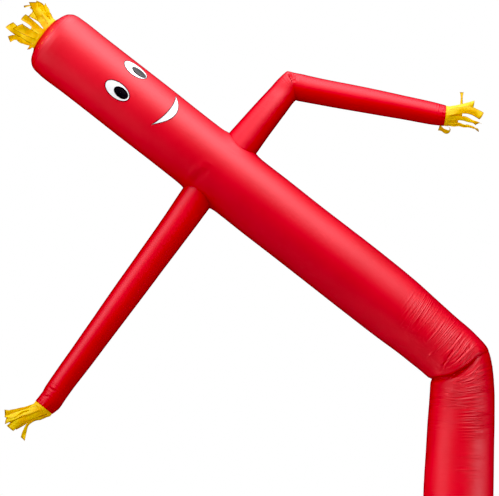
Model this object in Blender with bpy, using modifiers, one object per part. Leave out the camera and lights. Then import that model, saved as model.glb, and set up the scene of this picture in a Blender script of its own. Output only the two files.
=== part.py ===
"""Inflatable air dancer: a sewn nylon tube man, bent at the waist as air from below throws it about.

Metres, +Z up. The origin is the centre of the open bottom mouth, the front of the figure faces -Y and its
head is thrown over to -X. The body is one tube: an upright leg, a kink, and a torso that slopes up to the
head. Two sleeves, a head cap, three fringes and five face patches are sewn to it.
"""

import math
from collections import namedtuple

import bmesh
import bpy
from mathutils import Matrix, Vector

# Driving sizes
TUBE_RADIUS = 0.2286       # an 18 inch tube
CLOTH = 0.002              # one layer of cloth
HEM = 0.004                # cloth turned over and sewn, at the mouth and the cuffs
HEM_HEIGHT = 0.048
GAP = 0.0003               # clearance between sewn pieces
BODY_SIDES = 48
SLEEVE_SIDES = 28

# Torso, measured along its axis from the head end down to the kink
HEAD_END = Vector((-2.679, 0.0, 4.782))
TORSO_SLOPE = math.radians(37.95)
TORSO_DOWN = Vector((math.cos(TORSO_SLOPE), 0.0, -math.sin(TORSO_SLOPE)))
TORSO_OUTER = Vector((math.sin(TORSO_SLOPE), 0.0, math.cos(TORSO_SLOPE)))
BACKWARD = Vector((0.0, 1.0, 0.0))
TORSO_STATIONS = (0.45, 0.85, 1.15, 1.41, 1.67, 2.0, 2.35, 2.65)

# The domed head end: distance along the axis and radius. The last shoulder row is where the cap is sewn on.
Dome = namedtuple("Dome", "along radius")
SHOULDER = (
    Dome(0.0850, 0.2286),
    Dome(0.0500, 0.2240),
    Dome(0.0240, 0.2130),
    Dome(0.0180, 0.2085),
    Dome(0.0145, 0.2055),
)
CAP = (
    Dome(0.0110, 0.2025),
    Dome(0.0040, 0.1960),
    Dome(-0.0090, 0.1750),
    Dome(-0.0210, 0.1450),
    Dome(-0.0300, 0.1240),
)
VENT_RADIUS = 0.112

# Leg and kink: the tube's inner edge (the side it bends towards) and outer edge in the X-Z plane, how far the
# front and back are drawn in at a crease, and how far that crease drops in front of the inner corner
Section = namedtuple("Section", "inner_x inner_z outer_x outer_z drawn_in drop", defaults=(0.0, 0.0))
LEG_SECTIONS = (
    Section(-0.2286, 0.000, 0.2286, 0.000),
    Section(-0.2286, HEM_HEIGHT, 0.2286, HEM_HEIGHT),
    Section(-0.2286, HEM_HEIGHT + HEM, 0.2286, HEM_HEIGHT + HEM),
    Section(-0.2290, 0.500, 0.2290, 0.500),
    Section(-0.2300, 0.950, 0.2310, 0.950),
    Section(-0.2290, 1.400, 0.2360, 1.400),
    Section(-0.2175, 1.790, 0.2405, 1.790),
    Section(-0.2000, 2.085, 0.2460, 2.085),
    Section(-0.1900, 2.245, 0.2490, 2.255),
    Section(-0.1790, 2.380, 0.2490, 2.410),
)
KINK_SECTIONS = (
    Section(-0.1740, 2.465, 0.2440, 2.530, 0.005, 0.004),
    Section(-0.1720, 2.512, 0.2352, 2.611, 0.030, 0.018),
    Section(-0.1690, 2.534, 0.2244, 2.670, 0.075, 0.030),
    Section(-0.1680, 2.545, 0.2040, 2.735, 0.140, 0.037),
    Section(-0.1770, 2.550, 0.1843, 2.7636, 0.060, 0.040),
    Section(-0.1960, 2.5645, 0.1526, 2.7994, 0.005, 0.034),
    Section(-0.2350, 2.594, 0.0898, 2.8652, -0.012, 0.018),
    Section(-0.3000, 2.643, 0.0034, 2.9402, -0.008, 0.006),
)

# Where the kink runs out into the torso: distance from the head end, half width, and how far the middle of
# the ring sits off the torso's axis towards its outer side
Taper = namedtuple("Taper", "along half_width offset")
LOWER_TORSO = (
    Taper(3.085, 0.2158, -0.0063),
    Taper(2.900, 0.2248, -0.0013),
)

# Sleeves: centre of each ring, the way it faces in the X-Z plane in degrees, its half width in that plane and
# its half depth, and how far its outer quarters are drawn in at an elbow
Ring = namedtuple("Ring", "x y z heading half_width half_depth drawn_in", defaults=(0.0,))
LEFT_SLEEVE = (
    Ring(-1.4900, 0.0209, 3.9820, 51.2, 0.1150, 0.1150),
    Ring(-1.3239, 0.0777, 4.1962, 51.2, 0.1000, 0.1010),
    Ring(-1.2039, 0.1177, 4.3452, 51.2, 0.0915, 0.0930),
    Ring(-1.1409, 0.1388, 4.4234, 51.2, 0.0880, 0.0900),
    Ring(-1.1150, 0.1470, 4.4540, 38.0, 0.0920, 0.0890, 0.004),
    Ring(-1.0925, 0.1535, 4.4861, 20.5, 0.1080, 0.0870, 0.016),
    Ring(-1.0540, 0.1530, 4.4770, 3.0, 0.0945, 0.0880, 0.007),
    Ring(-1.0100, 0.1520, 4.4660, -11.1, 0.0905, 0.0905),
    Ring(-0.7000, 0.1450, 4.4045, -11.1, 0.0870, 0.0870),
    Ring(-0.4000, 0.1380, 4.3457, -11.1, 0.0815, 0.0815),
    Ring(-0.1450, 0.1320, 4.2958, -11.1, 0.0745, 0.0745),
    Ring(-0.0950, 0.1306, 4.2860, -10.0, 0.0715, 0.0720),
    Ring(-0.0910, 0.1305, 4.2852, -9.5, 0.0710, 0.0718),
    Ring(-0.0650, 0.1300, 4.2801, -7.0, 0.0680, 0.0700),
)
RIGHT_SLEEVE = (
    Ring(-1.6350, -0.0222, 3.8371, 234.5, 0.1075, 0.1075),
    Ring(-1.8167, -0.0904, 3.5751, 234.5, 0.0965, 0.0965),
    Ring(-2.0167, -0.1641, 3.2944, 234.5, 0.0885, 0.0885),
    Ring(-2.2167, -0.2378, 3.0137, 234.5, 0.0815, 0.0815),
    Ring(-2.4267, -0.3152, 2.7189, 234.5, 0.0745, 0.0745),
    Ring(-2.6000, -0.3780, 2.4746, 234.0, 0.0720, 0.0714),
    Ring(-2.6215, -0.3850, 2.4390, 228.0, 0.0730, 0.0700),
    Ring(-2.6255, -0.3862, 2.4335, 227.0, 0.0728, 0.0698),
    Ring(-2.6685, -0.3950, 2.3880, 231.0, 0.0675, 0.0665),
)

# Fringes: one row for each strip of cloth round the vent or the cuff. Headings are degrees in the X-Z plane away
# from the straight line out, at the root and the tip, and most of the bend is near the tip. Drift carries the tip
# towards the back on the head and towards the front on the hands, and twist turns the strip about itself.
Strip = namedtuple("Strip", "length start end drift twist")
STRIP_END_THICKNESS = 0.0014
STRIP_STEPS = 7
BAND_HEIGHT = 0.022
STRIP_SHARE = 0.80         # share of each place round the band that its strip takes
HAIR_STRIPS = (
    Strip(0.110, 10, 30, 0.00, 20),
    Strip(0.140, 10, 40, 0.02, 20),
    Strip(0.178, 26, -4, 0.03, 20),
    Strip(0.203, 32, -33, 0.04, 10),
    Strip(0.180, 22, -18, 0.06, 30),
    Strip(0.195, -2, 13, 0.05, 35),
    Strip(0.163, -6, 14, 0.03, 20),
    Strip(0.145, -10, 0, 0.01, 15),
    Strip(0.098, -8, -18, 0.01, 12),
    Strip(0.148, -14, -74, -0.03, 15),
    Strip(0.163, -26, 9, -0.04, 15),
    Strip(0.190, -28, -3, -0.05, 15),
    Strip(0.128, -16, -1, -0.05, 25),
    Strip(0.090, -14, 16, -0.05, 30),
    Strip(0.175, 20, -50, -0.04, 30),
    Strip(0.123, 20, -5, -0.02, 25),
)
LEFT_HAND_STRIPS = (
    Strip(0.125, 32, 117, 0.01, 15),
    Strip(0.160, 8, 38, 0.02, 30),
    Strip(0.208, 16, 6, 0.03, 12),
    Strip(0.195, 14, -16, 0.04, 20),
    Strip(0.188, 2, -8, 0.03, 25),
    Strip(0.070, -66, -150, 0.00, 10),
    Strip(0.223, -8, 12, -0.02, 20),
    Strip(0.228, 12, -23, -0.03, 30),
    Strip(0.245, 18, -12, -0.04, 15),
    Strip(0.163, 12, 27, -0.01, 20),
)
RIGHT_HAND_STRIPS = (
    Strip(0.248, -40, 45, 0.00, 25),
    Strip(0.185, -22, -2, 0.04, 20),
    Strip(0.235, -28, -3, 0.03, 20),
    Strip(0.220, -30, -20, 0.02, 15),
    Strip(0.203, -26, -51, 0.01, 20),
    Strip(0.195, -30, -45, 0.00, 15),
    Strip(0.205, -28, -38, -0.01, 20),
    Strip(0.225, -28, -18, -0.02, 12),
    Strip(0.255, -28, -8, -0.04, 15),
    Strip(0.180, -22, -12, -0.04, 20),
)

# Face patches on the torso: distance from the head end and azimuth in degrees from the front towards the
# outer side, with half sizes in metres
PATCH_THICKNESS = 0.0012
Oval = namedtuple("Oval", "along azimuth half_length half_width")
EYE_WHITES = {
    "eye_white_left": Oval(0.592, 51.5, 0.091, 0.058),
    "eye_white_right": Oval(0.590, -0.5, 0.094, 0.053),
}
PUPILS = {
    "pupil_left": Oval(0.621, 51.2, 0.055, 0.030),
    "pupil_right": Oval(0.618, 0.3, 0.053, 0.032),
}
SMILE_AZIMUTH = 27.0
SMILE_TIP_ALONG = 0.897
SMILE_HALF_SPAN = 0.1405   # half the distance between the tips, seen square on
SMILE_OUTER_SAG = 0.085
SMILE_INNER_SAG = 0.030
OVAL_POINTS = 28
SMILE_POINTS = 16

RED_CLOTH = (0.79, 0.006, 0.016, 1.0)
YELLOW_CLOTH = (0.95, 0.62, 0.008, 1.0)
WHITE_CLOTH = (0.86, 0.86, 0.88, 1.0)
BLACK_CLOTH = (0.012, 0.011, 0.013, 1.0)


def clear_scene():
    """Remove what the file opens with."""
    for old in list(bpy.data.objects):
        bpy.data.objects.remove(old, do_unlink=True)


def make_collection(name):
    """Return a new collection linked to the scene."""
    collection = bpy.data.collections.new(name)
    bpy.context.scene.collection.children.link(collection)
    return collection


def cloth_material(name, colour, roughness):
    """Return a plain woven-cloth material."""
    material = bpy.data.materials.new(name)
    material.use_nodes = True
    shader = material.node_tree.nodes["Principled BSDF"]
    shader.inputs["Base Color"].default_value = colour
    shader.inputs["Roughness"].default_value = roughness
    shader.inputs["Metallic"].default_value = 0.0
    return material


def new_object(name, bm, collection, material=None):
    """Turn a bmesh into a named, smooth shaded object."""
    mesh = bpy.data.meshes.new(name)
    bm.to_mesh(mesh)
    bm.free()
    mesh.shade_smooth()
    obj = bpy.data.objects.new(name, mesh)
    collection.objects.link(obj)
    if material:
        mesh.materials.append(material)
    return obj


def as_cutter(obj):
    """Mark an object that only shapes others."""
    obj.hide_render = True
    obj.display_type = "WIRE"
    return obj


def bridge(bm, lower, upper):
    """Join two rings of the same number of vertices with quads."""
    count = len(lower)
    for i in range(count):
        j = (i + 1) % count
        bm.faces.new((lower[i], lower[j], upper[j], upper[i]))


def loft(rings, closed=False):
    """Return a bmesh through rings of points, with flat ends when closed."""
    bm = bmesh.new()
    loops = [[bm.verts.new(point) for point in ring] for ring in rings]
    for lower, upper in zip(loops, loops[1:]):
        bridge(bm, lower, upper)
    if closed:
        bm.faces.new(list(reversed(loops[0])))
        bm.faces.new(loops[-1])
    return bm


def solidify(obj, thickness, offset, thick_rings=(), sides=0):
    """Give a sheet its thickness; the rings named by index are hemmed to the full thickness."""
    modifier = obj.modifiers.new("cloth", "SOLIDIFY")
    modifier.offset = offset
    modifier.use_even_offset = True
    modifier.thickness = thickness
    if thick_rings:
        hem = obj.vertex_groups.new(name="hem")
        for ring in thick_rings:
            hem.add(range(ring * sides, (ring + 1) * sides), 1.0, "REPLACE")
        modifier.thickness = HEM
        modifier.vertex_group = hem.name
        modifier.thickness_vertex_group = thickness / HEM


def boolean(obj, cutter, operation):
    """Cut or trim an object with another one."""
    modifier = obj.modifiers.new(operation.lower(), "BOOLEAN")
    modifier.operation = operation
    modifier.solver = "EXACT"
    modifier.object = cutter


def section_ring(section, grow=0.0):
    """Points round the leg or the kink: an oval of the tube's own girth, drawn in at the crease."""
    inner = Vector((section.inner_x, 0.0, section.inner_z))
    outer = Vector((section.outer_x, 0.0, section.outer_z))
    centre = (inner + outer) / 2
    across = (outer - inner) / 2
    half_width = across.length
    half_depth = math.sqrt(2 * TUBE_RADIUS ** 2 - half_width ** 2)
    points = []
    for i in range(BODY_SIDES):
        turn = 2 * math.pi * i / BODY_SIDES
        outward = math.cos(turn)
        side = math.sin(turn)
        creased = max(0.0, min(1.0, (0.85 - outward) / 0.6))
        depth = half_depth * (1 - section.drawn_in * creased) + grow
        drop = section.drop * abs(side) * math.tanh((0.38 - outward) / 0.2)
        point = centre + across * outward * (1 + grow / half_width) + BACKWARD * side * depth
        point.z -= drop
        points.append(point)
    return points


def torso_ring(along, radius, grow=0.0, offset=0.0):
    """Points round the torso at a distance from the head end."""
    centre = HEAD_END + TORSO_DOWN * along + TORSO_OUTER * offset
    half_depth = math.sqrt(2 * TUBE_RADIUS ** 2 - radius ** 2) if radius > 0.2 else radius
    points = []
    for i in range(BODY_SIDES):
        turn = 2 * math.pi * i / BODY_SIDES
        outward = TORSO_OUTER * math.cos(turn) * (radius + grow)
        points.append(centre + outward + BACKWARD * math.sin(turn) * (half_depth + grow))
    return points


def round_ring(along, radius):
    """Points round a true circle about the torso's axis."""
    centre = HEAD_END + TORSO_DOWN * along
    points = []
    for i in range(BODY_SIDES):
        turn = 2 * math.pi * i / BODY_SIDES
        points.append(centre + (TORSO_OUTER * math.cos(turn) + BACKWARD * math.sin(turn)) * radius)
    return points


def make_body(collection, cutters, material):
    """The one-piece tube: leg, kink, torso and rounded shoulder, with a hole at each sleeve."""
    rings = [section_ring(section) for section in LEG_SECTIONS + KINK_SECTIONS]
    rings += [torso_ring(row.along, row.half_width, offset=row.offset) for row in LOWER_TORSO]
    rings += [torso_ring(along, TUBE_RADIUS) for along in reversed(TORSO_STATIONS)]
    rings += [round_ring(row.along, row.radius) for row in SHOULDER]
    body = new_object("body_tube", loft(rings), collection, material)
    solidify(body, CLOTH, -1.0, thick_rings=(0, 1), sides=BODY_SIDES)
    for name, rows in (("left", LEFT_SLEEVE), ("right", RIGHT_SLEEVE)):
        boolean(body, sleeve_hole(name, rows, cutters), "DIFFERENCE")
    return body


def make_cap(collection, material):
    """The disc sewn into the head end, with its vent."""
    sewn, last = SHOULDER[-1], CAP[-1]
    rings = [round_ring(sewn.along - GAP, sewn.radius - GAP)]
    rings += [round_ring(row.along, row.radius) for row in CAP]
    rings.append(round_ring(last.along, VENT_RADIUS))
    cap = new_object("head_cap", loft(rings), collection, material)
    solidify(cap, CLOTH, -1.0)
    return cap


def ring_frame(rows, index):
    """Centre, facing, across and front directions of one sleeve ring."""
    row = rows[index]
    before = rows[max(index - 1, 0)]
    after = rows[min(index + 1, len(rows) - 1)]
    run = math.hypot(after.x - before.x, after.z - before.z)
    slope = math.atan2(after.y - before.y, run)
    heading = math.radians(row.heading)
    level = math.cos(slope)
    facing = Vector((math.cos(heading) * level, math.sin(slope), math.sin(heading) * level))
    across = Vector((-math.sin(heading), 0.0, math.cos(heading)))
    return Vector((row.x, row.y, row.z)), facing, across, facing.cross(across)


def sleeve_ring(rows, index, sides, shrink=0.0):
    """Points round one ring of a sleeve."""
    row = rows[index]
    centre, _, across, beside = ring_frame(rows, index)
    points = []
    for i in range(sides):
        turn = 2 * math.pi * i / sides
        outward = math.cos(turn)
        side = math.sin(turn)
        tuck = row.drawn_in * math.exp(-((outward - 0.75) / 0.3) ** 2)
        width = row.half_width - shrink - tuck
        depth = row.half_depth - shrink - tuck
        points.append(centre + across * outward * width + beside * side * depth)
    return points


def make_sleeve(name, rows, collection, cutters, material):
    """A sleeve sewn to the torso: a tapering tube whose root follows the torso's round."""
    rings = [sleeve_ring(rows, index, SLEEVE_SIDES) for index in range(len(rows))]
    sleeve = new_object(name, loft(rings), collection, material)
    last = len(rows) - 1
    solidify(sleeve, CLOTH, -1.0, thick_rings=(last - 1, last), sides=SLEEVE_SIDES)
    torso = loft([torso_ring(2.1, TUBE_RADIUS, GAP), torso_ring(0.7, TUBE_RADIUS, GAP)], closed=True)
    boolean(sleeve, as_cutter(new_object(name + "_root_cutter", torso, cutters)), "DIFFERENCE")
    return sleeve


def sleeve_hole(name, rows, cutters):
    """The hole in the body under a sleeve, smaller by the seam allowance."""
    seam = 0.006
    rings = [sleeve_ring(rows, index, SLEEVE_SIDES, seam) for index in (0, 1)]
    return as_cutter(new_object("hole_cutter_" + name, loft(rings, closed=True), cutters))


def make_fringe(name, centre, out, across, beside, radii, strips, collection, material):
    """A sewn band standing on a vent's edge, with strips of cloth cut from it that fly free."""
    half_width, half_depth = radii
    places = len(strips)
    columns = []
    for k in range(places):
        start = 2 * math.pi * (k - STRIP_SHARE / 2) / places
        columns += [start, start + 2 * math.pi * STRIP_SHARE / places]
    bm = bmesh.new()

    def rim(height, inset):
        """One loop of the band, in by a distance from its outer face."""
        loop = []
        for turn in columns:
            place = across * math.cos(turn) * (half_width - inset)
            place += beside * math.sin(turn) * (half_depth - inset)
            loop.append(bm.verts.new(centre + place + out * height))
        return loop

    low_outer, top_outer = rim(GAP, 0.0), rim(BAND_HEIGHT, 0.0)
    low_inner, top_inner = rim(GAP, CLOTH), rim(BAND_HEIGHT, CLOTH)
    bridge(bm, low_outer, top_outer)
    bridge(bm, top_inner, low_inner)
    bridge(bm, low_inner, low_outer)
    for k, strip in enumerate(strips):
        first, second = 2 * k, 2 * k + 1
        third = (second + 1) % len(columns)
        bm.faces.new((top_outer[second], top_outer[third], top_inner[third], top_inner[second]))
        root = [top_outer[first], top_outer[second], top_inner[second], top_inner[first]]
        grow_strip(bm, root, strip, out, across, beside)
    return new_object(name, bm, collection, material)


def grow_strip(bm, root, strip, out, across, beside):
    """Carry one strip from its four root points along its curve, thinning and turning as it goes."""
    corners = [vertex.co.copy() for vertex in root]
    place = sum(corners, Vector()) / 4
    width_way = (corners[1] - corners[0]).normalized()
    half_width = (corners[1] - corners[0]).length / 2
    previous = root
    heading_before = out.copy()
    for step in range(1, STRIP_STEPS + 1):
        share = step / STRIP_STEPS
        middle = (step - 0.5) / STRIP_STEPS
        heading = math.radians(strip.start + (strip.end - strip.start) * middle ** 2)
        stride = (out * math.cos(heading) + across * math.sin(heading)) * strip.length / STRIP_STEPS
        stride += beside * strip.drift * (share ** 2 - (share - 1 / STRIP_STEPS) ** 2)
        place = place + stride
        facing = stride.normalized()
        turn = heading_before.rotation_difference(facing)
        width_way = turn @ width_way
        width_way = Matrix.Rotation(math.radians(strip.twist / STRIP_STEPS), 3, facing) @ width_way
        heading_before = facing
        thick_way = width_way.cross(facing).normalized()
        wide = width_way * half_width * (1 - 0.12 * share)
        thick = thick_way * (CLOTH + (STRIP_END_THICKNESS - CLOTH) * share) / 2
        if (corners[0] - corners[3]).dot(thick) < 0:
            thick = -thick
        current = [place - wide + thick, place + wide + thick, place + wide - thick, place - wide - thick]
        corners = [point.copy() for point in current]
        loop = [bm.verts.new(point) for point in current]
        bridge(bm, previous, loop)
        previous = loop
    bm.faces.new(previous)


def patch_frame(along, azimuth):
    """Centre on the torso's axis, outward direction and sideways direction of a place on its face."""
    turn = math.radians(azimuth)
    outward = -BACKWARD * math.cos(turn) + TORSO_OUTER * math.sin(turn)
    sideways = BACKWARD * math.sin(turn) + TORSO_OUTER * math.cos(turn)
    return HEAD_END + TORSO_DOWN * along, outward, sideways


def make_patch(name, frame, outline, lift, collection, cutters, material):
    """Cloth laid on the torso, cut to an outline given as pairs along the torso and sideways."""
    centre, outward, sideways = frame
    ways = [centre + TORSO_DOWN * along + sideways * across for along, across in outline]
    near, far = TUBE_RADIUS * 0.3, TUBE_RADIUS * 1.3
    prism = loft([[p + outward * near for p in ways], [p + outward * far for p in ways]], closed=True)
    bmesh.ops.recalc_face_normals(prism, faces=prism.faces)
    cutter = as_cutter(new_object(name + "_outline", prism, cutters))
    sheet = loft([torso_ring(1.05, TUBE_RADIUS, lift), torso_ring(0.35, TUBE_RADIUS, lift)])
    patch = new_object(name, sheet, collection, material)
    solidify(patch, PATCH_THICKNESS, 1.0)
    boolean(patch, cutter, "INTERSECT")
    return patch


def oval_outline(oval):
    """An oval's outline about its own centre."""
    points = []
    for i in range(OVAL_POINTS):
        turn = 2 * math.pi * i / OVAL_POINTS
        points.append((oval.half_length * math.cos(turn), oval.half_width * math.sin(turn)))
    return points


def smile_outline():
    """A crescent between two arcs that meet at the tips."""
    outer = []
    inner = []
    for i in range(SMILE_POINTS + 1):
        across = SMILE_HALF_SPAN * (2 * i / SMILE_POINTS - 1)
        bow = 1 - (across / SMILE_HALF_SPAN) ** 2
        outer.append((SMILE_OUTER_SAG * bow, across))
        inner.append((SMILE_INNER_SAG * bow, across))
    return outer + inner[-2:0:-1]


def make_face(collection, cutters, white, black):
    """Two oval eyes with pupils and a crescent smile, sewn on flat."""
    lift = GAP
    for name, oval in EYE_WHITES.items():
        frame = patch_frame(oval.along, oval.azimuth)
        make_patch(name, frame, oval_outline(oval), lift, collection, cutters, white)
    smile_frame = patch_frame(SMILE_TIP_ALONG, SMILE_AZIMUTH)
    make_patch("smile", smile_frame, smile_outline(), lift, collection, cutters, white)
    lift += PATCH_THICKNESS + GAP
    for name, oval in PUPILS.items():
        frame = patch_frame(oval.along, oval.azimuth)
        make_patch(name, frame, oval_outline(oval), lift, collection, cutters, black)


def make_fringes(collection, material):
    """Hair on the head cap and a fringe at each cuff."""
    vent = HEAD_END + TORSO_DOWN * CAP[-1].along
    hair_radius = (VENT_RADIUS + CAP[-1].radius + CLOTH) / 2
    out = -TORSO_DOWN
    make_fringe("hair_fringe", vent, out, TORSO_OUTER, out.cross(TORSO_OUTER),
                (hair_radius, hair_radius), HAIR_STRIPS, collection, material)
    hands = (("left_hand_fringe", LEFT_SLEEVE, LEFT_HAND_STRIPS),
             ("right_hand_fringe", RIGHT_SLEEVE, RIGHT_HAND_STRIPS))
    for name, rows, strips in hands:
        centre, facing, across, beside = ring_frame(rows, len(rows) - 1)
        cuff = (rows[-1].half_width, rows[-1].half_depth)
        make_fringe(name, centre, facing, across, beside, cuff, strips, collection, material)


def main():
    """Build every piece."""
    clear_scene()
    pieces = make_collection("air_dancer")
    cutters = make_collection("air_dancer_cutters")
    red = cloth_material("red_nylon", RED_CLOTH, 0.42)
    yellow = cloth_material("yellow_nylon", YELLOW_CLOTH, 0.45)
    white = cloth_material("white_nylon", WHITE_CLOTH, 0.5)
    black = cloth_material("black_nylon", BLACK_CLOTH, 0.5)
    make_body(pieces, cutters, red)
    make_cap(pieces, red)
    make_sleeve("arm_left", LEFT_SLEEVE, pieces, cutters, red)
    make_sleeve("arm_right", RIGHT_SLEEVE, pieces, cutters, red)
    make_fringes(pieces, yellow)
    make_face(pieces, cutters, white, black)


main()
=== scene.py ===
"""Inflatable air dancer: the cloth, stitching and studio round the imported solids, laid out as an add-on.

Metres, +Z up. The origin is the centre of the open bottom mouth and the face looks towards -Y.
"""

import math
import random
from collections import namedtuple

import bpy
import numpy as np
from bpy.props import FloatProperty, FloatVectorProperty, IntProperty, PointerProperty
from bpy.types import Operator, Panel, PropertyGroup
from mathutils import Matrix, Vector, noise


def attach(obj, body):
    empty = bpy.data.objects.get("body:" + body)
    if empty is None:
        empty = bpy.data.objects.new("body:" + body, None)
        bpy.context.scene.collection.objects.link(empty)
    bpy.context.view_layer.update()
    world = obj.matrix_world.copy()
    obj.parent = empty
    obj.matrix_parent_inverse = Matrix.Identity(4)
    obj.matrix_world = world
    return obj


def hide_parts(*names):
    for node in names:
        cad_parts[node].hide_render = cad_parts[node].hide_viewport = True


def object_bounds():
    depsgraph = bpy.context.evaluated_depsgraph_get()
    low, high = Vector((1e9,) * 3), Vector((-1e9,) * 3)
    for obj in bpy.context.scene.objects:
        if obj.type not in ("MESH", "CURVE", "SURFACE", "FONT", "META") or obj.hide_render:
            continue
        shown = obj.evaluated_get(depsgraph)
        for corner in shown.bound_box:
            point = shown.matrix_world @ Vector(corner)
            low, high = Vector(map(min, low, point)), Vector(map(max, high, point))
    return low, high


bl_info = {
    "name": "Air Dancer",
    "version": (1, 0, 0),
    "blender": (4, 5, 0),
    "location": "3D View > Sidebar > Air Dancer",
    "description": "Sews the cloth of an inflatable air dancer over its packed frame",
    "category": "Add Mesh",
}

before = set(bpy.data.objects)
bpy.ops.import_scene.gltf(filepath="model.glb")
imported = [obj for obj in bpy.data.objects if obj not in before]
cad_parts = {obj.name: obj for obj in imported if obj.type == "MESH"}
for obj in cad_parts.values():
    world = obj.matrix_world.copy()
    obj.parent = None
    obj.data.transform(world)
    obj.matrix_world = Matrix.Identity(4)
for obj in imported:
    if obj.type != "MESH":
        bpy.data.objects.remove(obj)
CAD_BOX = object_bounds()


def table(kind, rows):
    """Give each row of a table its column names."""
    return tuple(kind(*row) for row in rows)


TUBE_RADIUS = 0.2286       # an 18 inch tube

# The torso's axis runs from the head end down to the kink
HEAD_END = np.array((-2.679, 0.0, 4.782))
TORSO_SLOPE = math.radians(37.95)
TORSO_DOWN = np.array((math.cos(TORSO_SLOPE), 0.0, -math.sin(TORSO_SLOPE)))
TORSO_OUTER = np.array((math.sin(TORSO_SLOPE), 0.0, math.cos(TORSO_SLOPE)))
BACKWARD = np.array((0.0, 1.0, 0.0))

# Camera of the photograph, level and square on to the figure
CAMERA = np.array((-1.362, -12.0, 3.401))
PLANE_WIDTH = 3.282        # width of the view where the figure stands
SENSOR_MM = 36.0

# Leg and kink: inner and outer edge of each section, then how far front and back draw in at the crease and
# how far it drops
Section = namedtuple("Section", "inner_x inner_z outer_x outer_z drawn_in drop", defaults=(0.0, 0.0))
HEM_HEIGHT = 0.048
SECTIONS = table(Section, (
    (-0.2286, 0.0, 0.2286, 0.0),
    (-0.2286, HEM_HEIGHT, 0.2286, HEM_HEIGHT),
    (-0.229, 0.5, 0.229, 0.5),
    (-0.23, 0.95, 0.231, 0.95),
    (-0.229, 1.4, 0.236, 1.4),
    (-0.2175, 1.79, 0.2405, 1.79),
    (-0.2, 2.085, 0.246, 2.085),
    (-0.19, 2.245, 0.249, 2.255),
    (-0.179, 2.38, 0.249, 2.41),
    (-0.174, 2.465, 0.244, 2.53, 0.0, 0.004),
    (-0.172, 2.512, 0.2352, 2.611, 0.008, 0.018),
    (-0.169, 2.534, 0.2244, 2.67, 0.025, 0.03),
    (-0.168, 2.545, 0.204, 2.735, 0.06, 0.037),
    (-0.177, 2.55, 0.1843, 2.7636, 0.04, 0.04),
    (-0.196, 2.5645, 0.1526, 2.7994, 0.005, 0.034),
    (-0.235, 2.594, 0.0898, 2.8652, -0.012, 0.018),
    (-0.3, 2.643, 0.0034, 2.9402, -0.008, 0.006),
))
# Torso up to the shoulder: distance from the head end, half width and how far the ring sits off the axis
Station = namedtuple("Station", "along half_width offset", defaults=(0.2286, 0.0))
STATIONS = table(Station, (
    (3.085, 0.2158, -0.0063),
    (2.9, 0.2248, -0.0013),
    (2.65,),
    (2.0,),
    (1.4,),
    (0.85,),
    (0.3,),
    (0.085,),
))
# The domed head end, as distance along the axis and radius
Dome = namedtuple("Dome", "along radius")
SHOULDER = table(Dome, (
    (0.05, 0.224),
    (0.024, 0.213),
    (0.018, 0.2085),
    (0.0145, 0.2055),
))
CAP = table(Dome, (
    (0.0142, 0.2052),
    (0.011, 0.2025),
    (0.004, 0.196),
    (-0.009, 0.175),
    (-0.021, 0.145),
    (-0.03, 0.124),
    (-0.03, 0.112),
))

# How far apart the rings of the body are, up to each distance along it
Zone = namedtuple("Zone", "until step")
BODY_ZONES = table(Zone, (
    (0.06, 0.01),
    (1.7, 0.05),
    (2.25, 0.018),
    (3.1, 0.004),
    (3.5, 0.012),
    (9.0, 0.024),
))

# Sleeves: centre of each ring, facing in the X-Z plane in degrees, half width there, half depth, draw-in
Ring = namedtuple("Ring", "x y z heading half_width half_depth drawn_in", defaults=(0.0,))
LEFT_SLEEVE = table(Ring, (
    (-1.49, -0.033, 3.982, 51.2, 0.12, 0.119),
    (-1.3239, 0.04, 4.1962, 51.2, 0.1048, 0.105),
    (-1.2039, 0.101, 4.3452, 51.2, 0.0955, 0.096),
    (-1.1409, 0.1388, 4.4234, 51.2, 0.0908, 0.0915),
    (-1.115, 0.147, 4.454, 38.0, 0.0935, 0.0895, 0.004),
    (-1.0891, 0.1525, 4.4814, 19.6, 0.1035, 0.0873, 0.014),
    (-1.0845, 0.1535, 4.4862, 16.4, 0.1055, 0.087, 0.016),
    (-1.0784, 0.1534, 4.4844, 13.7, 0.1033, 0.0872, 0.014),
    (-1.054, 0.153, 4.477, 3.0, 0.0945, 0.088, 0.007),
    (-1.01, 0.152, 4.466, -11.1, 0.0905, 0.0905),
    (-0.7, 0.145, 4.4055, -11.1, 0.0857, 0.0857),
    (-0.4, 0.138, 4.3477, -11.1, 0.0796, 0.0796),
    (-0.145, 0.132, 4.2963, -11.1, 0.0752, 0.0752),
    (-0.095, 0.1306, 4.286, -10.0, 0.0715, 0.072),
    (-0.065, 0.13, 4.2801, -7.0, 0.068, 0.07),
))
RIGHT_SLEEVE = table(Ring, (
    (-1.635, -0.0222, 3.8371, 234.5, 0.1135, 0.1135),
    (-1.8167, -0.0904, 3.5751, 234.5, 0.104, 0.104),
    (-2.0167, -0.1641, 3.2944, 234.5, 0.097, 0.097),
    (-2.2167, -0.2378, 3.0137, 234.5, 0.0908, 0.0908),
    (-2.4267, -0.3152, 2.7189, 234.5, 0.0828, 0.0828),
    (-2.6, -0.378, 2.4746, 234.0, 0.0762, 0.0756),
    (-2.6255, -0.3862, 2.4335, 227.0, 0.0752, 0.0722),
    (-2.6685, -0.395, 2.388, 231.0, 0.0675, 0.0665),
))

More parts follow.
